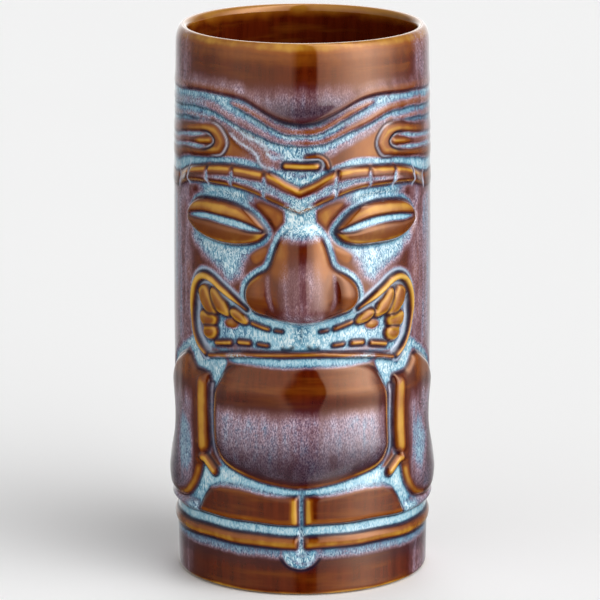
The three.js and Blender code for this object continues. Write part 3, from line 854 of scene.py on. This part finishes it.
def inner_rings(arcs, behind, crest_radius, wall_steps):
    """Rings down the inside, this far behind the glaze's surface, from the lip's crest to the floor."""
    radius = CAVITY_RADIUS + behind
    lip = [ring(arcs, crest_radius - (crest_radius - radius) * math.cos(t),
                RIM_TOP - LIP_INNER_DROP + (LIP_INNER_DROP - behind) * math.sin(t))
           for t in np.linspace(math.pi / 2, 0, BEND_STEPS)]
    turn = CAVITY_FLOOR + CAVITY_FILLET
    walls = [ring(arcs, radius, z) for z in np.linspace(RIM_TOP - LIP_INNER_DROP, turn, wall_steps)[1:-1]]
    floor = CAVITY_FLOOR - behind
    bend = [ring(arcs, CAVITY_RADIUS - CAVITY_FILLET + (CAVITY_FILLET + behind) * math.cos(t),
                 turn - (turn - floor) * math.sin(t))
            for t in np.linspace(0, math.pi / 2, BEND_STEPS)]
    inwards = [ring(arcs, share * (CAVITY_RADIUS - CAVITY_FILLET), floor) for share in (0.75, 0.5, 0.25)]
    return lip + walls + bend + inwards


def carved_wall():
    arcs = wall_arcs()
    top = RIM_TOP - LIP_DROP
    corner = np.linspace(FOOT_LINE, FOOT_CORNER_HEIGHT, CORNER_STEPS, endpoint=False)
    upright = np.linspace(FOOT_CORNER_HEIGHT, top, round((top - FOOT_CORNER_HEIGHT) / HEIGHT_STEP))
    heights = np.concatenate([corner, upright])
    wall = carve(arcs, heights)
    wall.height = soften(wall.height, HEIGHT_BLUR)
    for name, blur in FIELDS.items():
        setattr(wall, name, soften(getattr(wall, name), blur))
    wall.arcs, wall.heights = arcs, heights
    return wall


def outside_glaze(wall):
    """The coat over the carving: the fine outer face, the lip, and a hidden face against the clay."""
    face = [ring(wall.arcs, plain_radius(z) + wall.height[i], z) for i, z in enumerate(wall.heights)]
    lip = outer_lip(wall.arcs, 0, LIP_STEPS)
    hidden = outer_lip(wall.arcs, COAT, HIDDEN_LIP_STEPS)[::-1] + clay_face(wall, COAT)[::-1]
    piece = rings_to_mesh("outside_glaze_coat", face + lip + hidden)
    lip_wall = carve(wall.arcs, np.array([r[0, 2] for r in lip]))
    unseen = np.zeros((len(hidden), len(wall.arcs)))
    for name in FIELDS:
        values = np.vstack([getattr(wall, name), getattr(lip_wall, name), unseen])
        layer = piece.data.attributes.new(name, "FLOAT", "POINT")
        layer.data.foreach_set("value", np.clip(values, 0, 1).astype(np.float32).ravel())
    return piece


def clay_face(wall, below):
    """Rings of the carved clay, from the foot line up: the lowest relief nearby, under the coat."""
    picked = list(range(0, len(wall.heights), HIDDEN_STEP)) + [len(wall.heights) - 1]
    rings = []
    for i in picked:
        nearby = wall.height[max(0, i - HIDDEN_STEP):i + HIDDEN_STEP + 1]
        low = np.minimum(nearby.min(0), 0)
        z = wall.heights[i]
        rings.append(ring(wall.arcs, plain_radius(z) + low - below, z))
    return rings


def clay_body(wall):
    coat = COAT + HAIRLINE
    arcs = wall.arcs
    inner, outer = FOOT_RING_INNER_RADIUS, plain_radius(0) - coat
    # The foot ring's section, as radius and height, with its corners rounded off.
    foot = [(inner - 1, FOOT_RECESS), (inner - 0.3, 0.35), (inner, 0.05), (inner + 0.4, 0),
            (outer - 0.4, 0), (outer, 0.12)]
    rings = [ring(arcs, radius, z) for radius, z in foot]
    rings += clay_face(wall, coat) + outer_lip(arcs, coat, HIDDEN_LIP_STEPS)
    rings += inner_rings(arcs, coat, LIP_CREST_RADIUS, 6)[1:]
    poles = ((0, AXIS_Y / MM, FOOT_RECESS), (0, AXIS_Y / MM, CAVITY_FLOOR - coat))
    return rings_to_mesh("stoneware_cup", rings, poles)


def inside_glaze():
    arcs = np.linspace(0, GIRTH, INSIDE_SIDES, endpoint=False)
    crest = LIP_CREST_RADIUS - HAIRLINE
    rings = inner_rings(arcs, COAT, crest, 5)[::-1] + inner_rings(arcs, 0, crest, 40)
    poles = ((0, AXIS_Y / MM, CAVITY_FLOOR - COAT), (0, AXIS_Y / MM, CAVITY_FLOOR))
    return rings_to_mesh("inside_glaze_coat", rings, poles)


def underside_glaze():
    low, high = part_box("underside_glaze")
    radius, bottom, top = (high.x - low.x) / 2 / MM, low.z / MM, high.z / MM
    arcs = np.linspace(0, GIRTH, UNDERSIDE_SIDES, endpoint=False)
    middle = (bottom + top) / 2
    rings = [ring(arcs, radius * share, bottom) for share in (0.5, 0.9, 0.99)]
    rings += [ring(arcs, radius, middle), ring(arcs, radius * 0.99, top)]
    poles = ((0, AXIS_Y / MM, bottom), (0, AXIS_Y / MM, top))
    return rings_to_mesh("underside_glaze_coat", rings, poles)


# ---- Materials ----

class Nodes:
    """A short way to write a node tree: each call makes a node and returns its output."""

    def __init__(self, tree):
        self.tree = tree

    def add(self, kind, **settings):
        node = self.tree.nodes.new(kind)
        for key, value in settings.items():
            setattr(node, key, value)
        return node

    def put(self, socket, value):
        """Links an output to the socket, or sets a number or a colour on it."""
        if isinstance(value, bpy.types.NodeSocket):
            self.tree.links.new(value, socket)
        elif socket.type == "RGBA":
            socket.default_value = (*value, 1.0)
        else:
            socket.default_value = value

    def math(self, operation, a, b=0.0):
        node = self.add("ShaderNodeMath", operation=operation)
        self.put(node.inputs[0], a)
        self.put(node.inputs[1], b)
        return node.outputs[0]

    def times(self, a, b):
        return self.math("MULTIPLY", a, b)

    def plus(self, a, b):
        return self.math("ADD", a, b)

    def swing(self, noise, amount):
        """Noise about its middle, times the amount."""
        return self.times(self.math("SUBTRACT", noise, 0.5), amount)

    def ramp(self, value, low, high, to_low=0.0, to_high=1.0, kind="SMOOTHSTEP"):
        node = self.add("ShaderNodeMapRange", interpolation_type=kind)
        for socket, v in zip(node.inputs[:5], (value, low, high, to_low, to_high)):
            self.put(socket, v)
        return node.outputs[0]

    def mix(self, factor, a, b):
        node = self.add("ShaderNodeMix", data_type="RGBA")
        self.put(node.inputs[0], factor)
        self.put(node.inputs[6], a)
        self.put(node.inputs[7], b)
        return node.outputs[2]

    def colours(self, value, table):
        """A ramp through the table's colours, each at its own value."""
        node = self.add("ShaderNodeValToRGB")
        self.put(node.inputs[0], value)
        elements = node.color_ramp.elements
        while len(elements) < len(table):
            elements.new(0.5)
        for element, (at, tone) in zip(elements, table):
            element.position = at
            element.color = (*tone, 1.0)
        return node.outputs[0]

    def mask(self, name):
        return self.add("ShaderNodeAttribute", attribute_name=name).outputs["Fac"]

    def coordinates(self, kind):
        return self.add("ShaderNodeTexCoord").outputs[kind]

    def split(self, vector):
        """The three coordinates of a vector."""
        node = self.add("ShaderNodeSeparateXYZ")
        self.put(node.inputs[0], vector)
        return node.outputs

    def noise(self, scale, detail, roughness, distortion=0.0):
        """Noise over the object, with so many cycles in a metre along each axis."""
        place = self.add("ShaderNodeMapping")
        self.put(place.inputs["Vector"], self.coordinates("Object"))
        place.inputs["Scale"].default_value = scale
        node = self.add("ShaderNodeTexNoise")
        self.put(node.inputs["Vector"], place.outputs[0])
        set_inputs(node, {"Scale": 1.0, "Detail": detail, "Roughness": roughness, "Distortion": distortion})
        return node.outputs["Fac"]


def set_inputs(node, values):
    for name, value in values.items():
        node.inputs[name].default_value = value


BROWN = (0.125, 0.014, 0.002)
UMBER = (0.070, 0.006, 0.001)
RUSSET = (0.200, 0.048, 0.004)
AMBER = (0.250, 0.062, 0.004)
GOLD = (0.600, 0.310, 0.036)
HONEY = (0.800, 0.500, 0.110)
NAVY = (0.006, 0.010, 0.026)
PALE = (0.720, 0.780, 0.920)
# PLUM: darker glaze, and painted shade on the nose tip's underside and low on the belly.
PLUM = (0.020, 0.008, 0.020)
# The coat's own colour by its thickness: brown, plum, navy, then blue in the deepest pools.
GROUND = [
    (0.00, BROWN),
    (0.16, (0.095, 0.016, 0.014)),
    (0.30, (0.150, 0.055, 0.070)),
    (0.42, (0.140, 0.080, 0.130)),
    (0.52, (0.050, 0.080, 0.170)),
    (0.64, (0.040, 0.150, 0.270)),
    (0.76, (0.130, 0.340, 0.480)),
    (0.88, (0.270, 0.540, 0.680)),
    (1.00, (0.420, 0.680, 0.780)),
]
# The fine flecks that float in it, by the same thickness: mauve, lilac, then almost white.
FLECKS = [
    (0.00, BROWN),
    (0.16, (0.210, 0.075, 0.070)),
    (0.30, (0.370, 0.200, 0.210)),
    (0.42, (0.640, 0.470, 0.560)),
    (0.55, (0.560, 0.640, 0.780)),
    (0.75, (0.580, 0.800, 0.880)),
    (1.00, (0.880, 0.970, 0.960)),
]


def new_material(name):
    material = bpy.data.materials.new(name)
    material.use_nodes = True
    tree = material.node_tree
    shader = tree.nodes["Principled BSDF"]
    return material, Nodes(tree), shader


# A smooth clear coat over glaze that is glossy itself. Warm and cool tint the inner gloss.
GLASSY = {"Roughness": 0.08, "IOR": 1.5, "Specular IOR Level": 1.0,
          "Coat Weight": 1.0, "Coat Roughness": 0.04, "Coat IOR": 1.5}
WARM = (1.0, 0.40, 0.07)
COOL = (0.78, 0.82, 0.90)
# Noise scales on x, y and z: a small third number draws the noise out into streaks down the wall.
RUNS = (520, 520, 60)
BANDS = (40, 40, 300)
GRAIN = (3300, 3300, 1350)
WORMS = (1000, 1000, 420)
BLOTCH = (240, 240, 150)
MOTTLE = (150, 150, 150)
CLAY_GRAIN = (2500, 2500, 2500)
FLOOR_GRAIN = (3, 3, 3)


def brown_coat(n):
    """The plain brown: fine runs down the wall, and broad bands round it where the glaze lies thinner."""
    runs = n.noise(RUNS, 3, 0.5)
    bands = n.noise(BANDS, 3, 0.55)
    coat = n.mix(n.ramp(runs, 0.25, 0.8), UMBER, BROWN)
    return n.mix(n.ramp(bands, 0.45, 0.8, 0.0, 0.85), coat, RUSSET), runs


def reactive_glaze():
    material, n, shader = new_material("reactive_glaze")
    base, runs = brown_coat(n)
    grain = n.noise(GRAIN, 2, 0.6)
    worms = n.noise(WORMS, 2, 0.5, 2.4)
    blotch = n.noise(BLOTCH, 2, 0.5)
    thick, gold = n.mask("thick"), n.mask("gold")
    sway = n.ramp(thick, 0.0, 0.3, 0.0, 0.3)
    drift = n.plus(n.swing(blotch, sway), n.swing(runs, sway))
    stir = n.swing(worms, n.ramp(thick, 0.3, 0.65, 0.1, 0.55))
    depth = n.plus(n.plus(thick, drift), stir)
    ground = n.mix(n.ramp(depth, 0.04, 0.18), base, n.colours(depth, GROUND))
    pattern = n.mix(n.ramp(thick, 0.5, 0.75), n.ramp(grain, 0.34, 0.74), n.ramp(worms, 0.42, 0.62))
    flecked = n.times(pattern, n.ramp(depth, 0.1, 0.4))
    flecked = n.times(flecked, n.ramp(n.mask("calm"), 0.0, 1.0, 1.0, 0.15))
    lustre = n.plus(gold, n.swing(blotch, n.ramp(gold, 0.0, 0.3, 0.0, 0.5)))
    surface = n.mix(n.ramp(lustre, 0.05, 0.5), ground, AMBER)
    surface = n.mix(n.ramp(lustre, 0.45, 0.9), surface, GOLD)
    surface = n.mix(n.ramp(lustre, 0.85, 1.15), surface, HONEY)
    surface = n.mix(flecked, surface, n.colours(depth, FLECKS))
    # The deep mask mixes in plum: darker glaze, and painted shade on the nose tip's underside and low on the
    # belly.
    surface = n.mix(n.times(n.mask("deep"), 0.85), surface, PLUM)
    surface = n.mix(n.mask("line"), surface, NAVY)
    surface = n.mix(n.mask("pale"), surface, PALE)
    n.put(shader.inputs["Base Color"], surface)
    set_inputs(shader, GLASSY)
    n.put(shader.inputs["Specular Tint"], n.mix(n.ramp(thick, 0.1, 0.5), WARM, COOL))
    open_to_light = n.ramp(n.mask("line"), 0.2, 0.9, 1.0, 0.25)
    n.put(shader.inputs["Specular IOR Level"], open_to_light)
    n.put(shader.inputs["Coat Weight"], open_to_light)
    return material


def brown_glaze():
    material, n, shader = new_material("brown_glaze")
    surface, _ = brown_coat(n)
    height = n.split(n.coordinates("Object"))[2]
    at = n.plus(height, n.swing(n.noise(MOTTLE, 2, 0.5), 4 * MM))
    surface = n.mix(n.ramp(at, (RIM_TOP - 4.5) * MM, (RIM_TOP - 2) * MM), surface, AMBER)
    surface = n.mix(n.ramp(at, (RIM_TOP - 3) * MM, RIM_TOP * MM, 0.0, 0.45), surface, GOLD)
    n.put(shader.inputs["Base Color"], surface)
    set_inputs(shader, GLASSY)
    n.put(shader.inputs["Specular Tint"], WARM)
    return material


def bare_clay():
    material, n, shader = new_material("bare_clay")
    grain = n.noise(CLAY_GRAIN, 3, 0.6)
    surface = n.mix(grain, (0.36, 0.22, 0.12), (0.52, 0.37, 0.24))
    n.put(shader.inputs["Base Color"], surface)
    shader.inputs["Roughness"].default_value = 0.8
    bump = n.add("ShaderNodeBump")
    set_inputs(bump, {"Strength": 0.3, "Distance": 0.1 * MM})
    n.put(bump.inputs["Height"], grain)
    n.put(shader.inputs["Normal"], bump.outputs[0])
    return material


def pale_floor():
    material, n, shader = new_material("pale_floor")
    grain = n.noise(FLOOR_GRAIN, 2, 0.55)
    n.put(shader.inputs["Base Color"], n.mix(grain, (0.92, 0.92, 0.92), (0.94, 0.94, 0.94)))
    shader.inputs["Roughness"].default_value = 0.9
    return material


# ---- The shot ----

CAMERA_DISTANCE = 1233.2 * MM
CAMERA_HEIGHT = 375.5 * MM
CAMERA_PITCH = math.radians(13.39)
CAMERA_TURN = math.radians(0.6)
CAMERA_SIDESTEP = -0.7 * MM
SENSOR = 36.0
FOCAL_LENGTH = 250.9
NEAREST, FARTHEST = 0.05, 20
FLOOR_SIZE = 12


def add_camera():
    data = bpy.data.cameras.new("camera")
    data.sensor_width = SENSOR
    data.lens = FOCAL_LENGTH
    data.clip_start, data.clip_end = NEAREST, FARTHEST
    camera = bpy.data.objects.new("camera", data)
    bpy.context.scene.collection.objects.link(camera)
    sin, cos = math.sin(CAMERA_TURN), math.cos(CAMERA_TURN)
    x = CAMERA_DISTANCE * sin + CAMERA_SIDESTEP * cos
    y = AXIS_Y - CAMERA_DISTANCE * cos + CAMERA_SIDESTEP * sin
    camera.location = (x, y, CAMERA_HEIGHT)
    camera.rotation_euler = (math.pi / 2 - CAMERA_PITCH, 0, CAMERA_TURN)
    bpy.context.scene.camera = camera


# Brightness of the studio at each bearing, in degrees to the right of the camera as seen from the mug: a
# dark slot where the camera stands, a dim diffuser on its left, a bright one on its right, a glow behind.
STUDIO = [(-180, 1.1), (-160, 0.6), (-138, 0.12), (-95, 0.2), (-60, 0.5), (-10, 0.45), (-3.5, 0.0),
          (13, 0.0), (15, 0.8), (32, 1.4), (50, 2.5), (62, 2.7), (78, 1.6), (95, 0.5), (115, 0.12),
          (138, 0.12), (160, 0.6), (180, 1.1)]
# What that brightness is multiplied by at each elevation.
STUDIO_LIFT = [(-90, 0.2), (-28, 0.2), (-20, 0.38), (-13, 0.82), (-9, 1.1), (0, 1.35), (15, 1.4),
               (35, 1.5), (55, 1.4), (90, 1.4)]


def table_ramp(n, value, table):
    """The table's second number at its first, and straight lines between."""
    top = max(amount for _, amount in table)
    low, high = table[0][0], table[-1][0]
    greys = [((at - low) / (high - low), [amount / top] * 3) for at, amount in table]
    return n.times(n.colours(n.ramp(value, low, high, kind="LINEAR"), greys), top)


def studio_light():
    world = bpy.data.worlds.new("studio")
    world.use_nodes = True
    bpy.context.scene.world = world
    n = Nodes(world.node_tree)
    x, y, z = n.split(n.coordinates("Generated"))
    bearing = n.math("DEGREES", n.math("ARCTAN2", x, n.times(y, -1.0)))
    elevation = n.math("DEGREES", n.math("ARCSINE", z))
    glow = n.times(table_ramp(n, bearing, STUDIO), table_ramp(n, elevation, STUDIO_LIFT))
    background = world.node_tree.nodes["Background"]
    n.put(background.inputs["Color"], (1, 1, 1))
    n.put(background.inputs["Strength"], glow)


def add_floor():
    bpy.ops.mesh.primitive_plane_add(size=FLOOR_SIZE, location=(0, 0, 0))
    floor = bpy.context.active_object
    floor.name = "floor"
    floor.data.materials.append(pale_floor())
    floor.visible_glossy = False


# ---- Assembly ----

def place(piece, material, slot, *nodes):
    piece.data.materials.append(material)
    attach(piece, ROOT)
    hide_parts(*nodes)


add_camera()
studio_light()
add_floor()
bpy.context.scene.view_settings.view_transform = "Standard"

the_wall = carved_wall()
brown = brown_glaze()
place(outside_glaze(the_wall), reactive_glaze(), "reactive_glaze", "outside_glaze")
place(inside_glaze(), brown, "brown_glaze", "inside_glaze")
place(underside_glaze(), brown, "brown_glaze", "underside_glaze")
place(clay_body(the_wall), bare_clay(), "stoneware", "stoneware_body")
